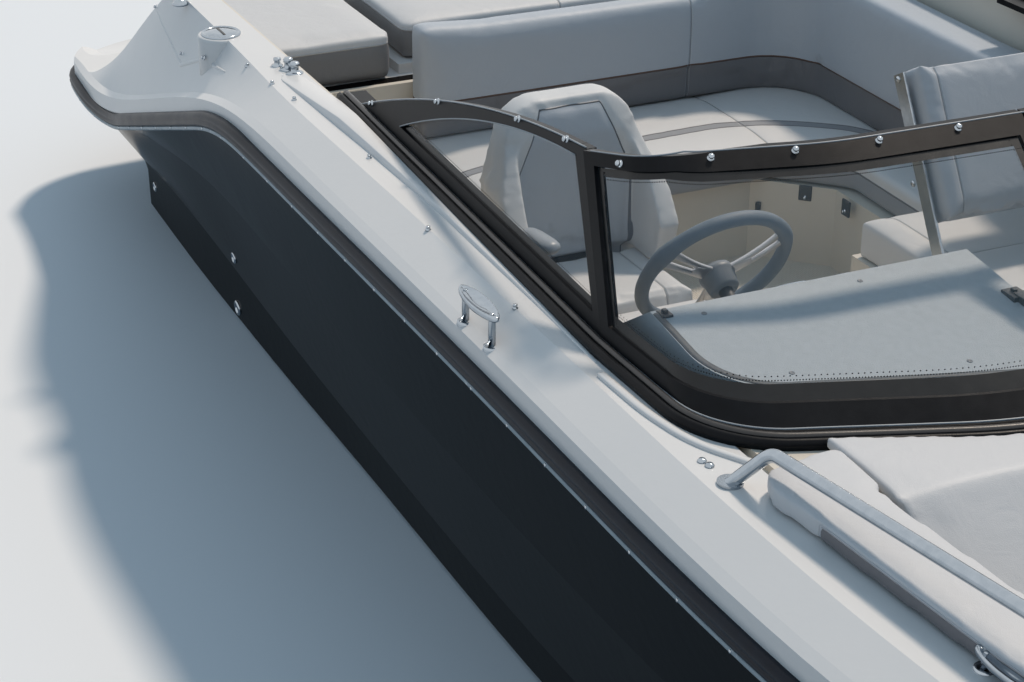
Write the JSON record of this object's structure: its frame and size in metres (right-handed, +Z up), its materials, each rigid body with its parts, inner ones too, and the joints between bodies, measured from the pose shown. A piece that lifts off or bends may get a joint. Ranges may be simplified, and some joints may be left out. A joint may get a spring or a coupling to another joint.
{
  "type": "sterndrive bowrider speedboat",
  "caption": "Open bowrider speedboat with sunpads, wrap-round windshield with a centre door, swivel helm seat, lounge seating and a steerable, tilting sterndrive.",
  "frame": {"origin": "at the waterline on the centreline, where the transom meets the water", "axes": "+X forward to the bow, +Y to port, +Z up"},
  "size_m": [6.5979, 2.523, 2.06],
  "materials": {
    "hull_black": "gloss gelcoat",
    "deck_white": "gloss gelcoat, non-slip on top",
    "rail_navy": "satin extruded band",
    "pad_beige": "closed foam with plank grooves",
    "liner_beige": "satin gelcoat",
    "console_beige": "satin gelcoat",
    "dash_grey": "textured blue-grey panel",
    "vinyl_grey": "stitched marine vinyl",
    "frame_black": "black powder coat",
    "clear_glass": "clear, lightly tinted",
    "stainless": "polished stainless steel",
    "wheel_silver": "silver spokes, padded rim",
    "lever_black": "black lever",
    "pedestal_alloy": "anodised",
    "drive_black": "black gloss paint",
    "propeller_steel": "ground stainless",
    "engine_grey": "painted iron"
  },
  "bodies": {
    "boat": {"hull": "hull_black", "deck": "deck_white", "rub_rail": "rail_navy", "platform_pad": "pad_beige", "cockpit_liner": "liner_beige", "bow_liner": "liner_beige", "engine": "engine_grey", "sunpads_side": "vinyl_grey", "lounge_base": "liner_beige", "lounge_cushions": "vinyl_grey", "lounge_backrests": "vinyl_grey", "windshield_frames": "frame_black", "windshield_glass": "clear_glass", "helm_console": "console_beige", "port_console": "console_beige", "helm_dash": "dash_grey", "port_dash": "dash_grey", "helm_pod": "dash_grey", "steering_column": "stainless", "throttle": "lever_black", "helm_pedestal": "pedestal_alloy", "port_seat_base": "liner_beige", "port_seat_cushion": "vinyl_grey", "bow_cushions": "vinyl_grey", "bow_backrests": "vinyl_grey", "bow_bolsters": "vinyl_grey", "grab_rails": "stainless", "cleats": "stainless", "deck_fittings": "stainless", "bow_eye": "stainless", "stern_eyes": "stainless", "drive_housing": "drive_black"},
    "hatch": {"engine_hatch": "console_beige", "sunpad_main": "vinyl_grey"},
    "locker_lid": {"floor_locker_lid": "liner_beige"},
    "windshield_door": {"windshield_door_frame": "frame_black", "windshield_door_glass": "clear_glass"},
    "glovebox_lid": {"glovebox_door": "console_beige"},
    "wheel": {"steering_wheel": "wheel_silver"},
    "helm_seat": {"helm_seat_pan": "pedestal_alloy", "helm_seat_cushion": "vinyl_grey", "helm_seat_back": "vinyl_grey"},
    "bolster": {"helm_bolster": "vinyl_grey"},
    "companion_backrest": {"port_backrest_arms": "stainless", "port_backrest": "vinyl_grey"},
    "drive_ring_body": {"drive_ring": "drive_black"},
    "drive_leg_body": {"drive_leg": "drive_black"},
    "propeller_body": {"propeller": "propeller_steel"},
    "ram_barrels": {"trim_ram_barrels": "drive_black"},
    "ram_rods": {"trim_ram_rods": "stainless"}
  },
  "joints": [
    {"name": "wheel_turn", "type": "hinge", "parent": "boat", "child": "wheel", "pos_m": [2.91, -0.63, 0.91], "axis": [-0.8763, 0, 0.4818], "range_deg": [-540, 540]},
    {"name": "drive_steer", "type": "hinge", "parent": "boat", "child": "drive_ring_body", "pos_m": [-0.19, 0, -0.04], "axis": [0, 0, -1], "range_deg": [-28, 28]},
    {"name": "drive_trim", "type": "hinge", "parent": "drive_ring_body", "child": "drive_leg_body", "pos_m": [-0.19, 0, -0.04], "axis": [0, 1, 0], "range_deg": [-5, 38]},
    {"name": "propeller_turn", "type": "hinge", "parent": "drive_leg_body", "child": "propeller_body", "pos_m": [-0.6, 0, -0.54], "axis": [1, 0, 0], "continuous": true},
    {"name": "ram_swing", "type": "hinge", "parent": "drive_ring_body", "child": "ram_barrels", "pos_m": [-0.16, 0, -0.14], "axis": [0, 1, 0], "range_deg": [-5, 32.5]},
    {"name": "ram_stroke", "type": "slide", "parent": "ram_barrels", "child": "ram_rods", "axis": [-0.9993, 0, -0.0377], "range_m": [-0.012, 0.065]},
    {"name": "hatch_lift", "type": "hinge", "parent": "boat", "child": "hatch", "pos_m": [0.03, 0.125, 0.6003], "axis": [0, -1, 0], "range_deg": [0, 60]},
    {"name": "locker_lid_lift", "type": "hinge", "parent": "boat", "child": "locker_lid", "pos_m": [2.6975, 0, 0.08], "axis": [0, 1, 0], "range_deg": [0, 90]},
    {"name": "windshield_door_swing", "type": "hinge", "parent": "boat", "child": "windshield_door", "pos_m": [3.8945, 0.27485, 0.9559], "axis": [-0.8471, -0.1597, 0.5069], "range_deg": [0, 150]},
    {"name": "glovebox_drop", "type": "hinge", "parent": "boat", "child": "glovebox_lid", "pos_m": [3.1482, 0.64, 0.6571], "axis": [0, -1, 0], "range_deg": [0, 75]},
    {"name": "helm_seat_swivel", "type": "hinge", "parent": "boat", "child": "helm_seat", "pos_m": [2.4, -0.615, 0.5], "axis": [0, 0, 1], "continuous": true},
    {"name": "bolster_flip", "type": "hinge", "parent": "helm_seat", "child": "bolster", "pos_m": [2.505, -0.615, 0.6633], "axis": [0, -1, 0], "range_deg": [0, 100]},
    {"name": "backrest_flip", "type": "hinge", "parent": "boat", "child": "companion_backrest", "pos_m": [2.5, 0.6275, 0.36], "axis": [0, 1, 0], "range_deg": [0, 60]}
  ],
  "couplings": [
    {"joint": "drive_steer", "follows": "wheel_turn", "ratio": 0.05185},
    {"joint": "ram_swing", "follows": "drive_trim", "ratio": 0.83518},
    {"joint": "ram_stroke", "follows": "drive_trim", "m_per_rad": 0.09125}
  ]
}
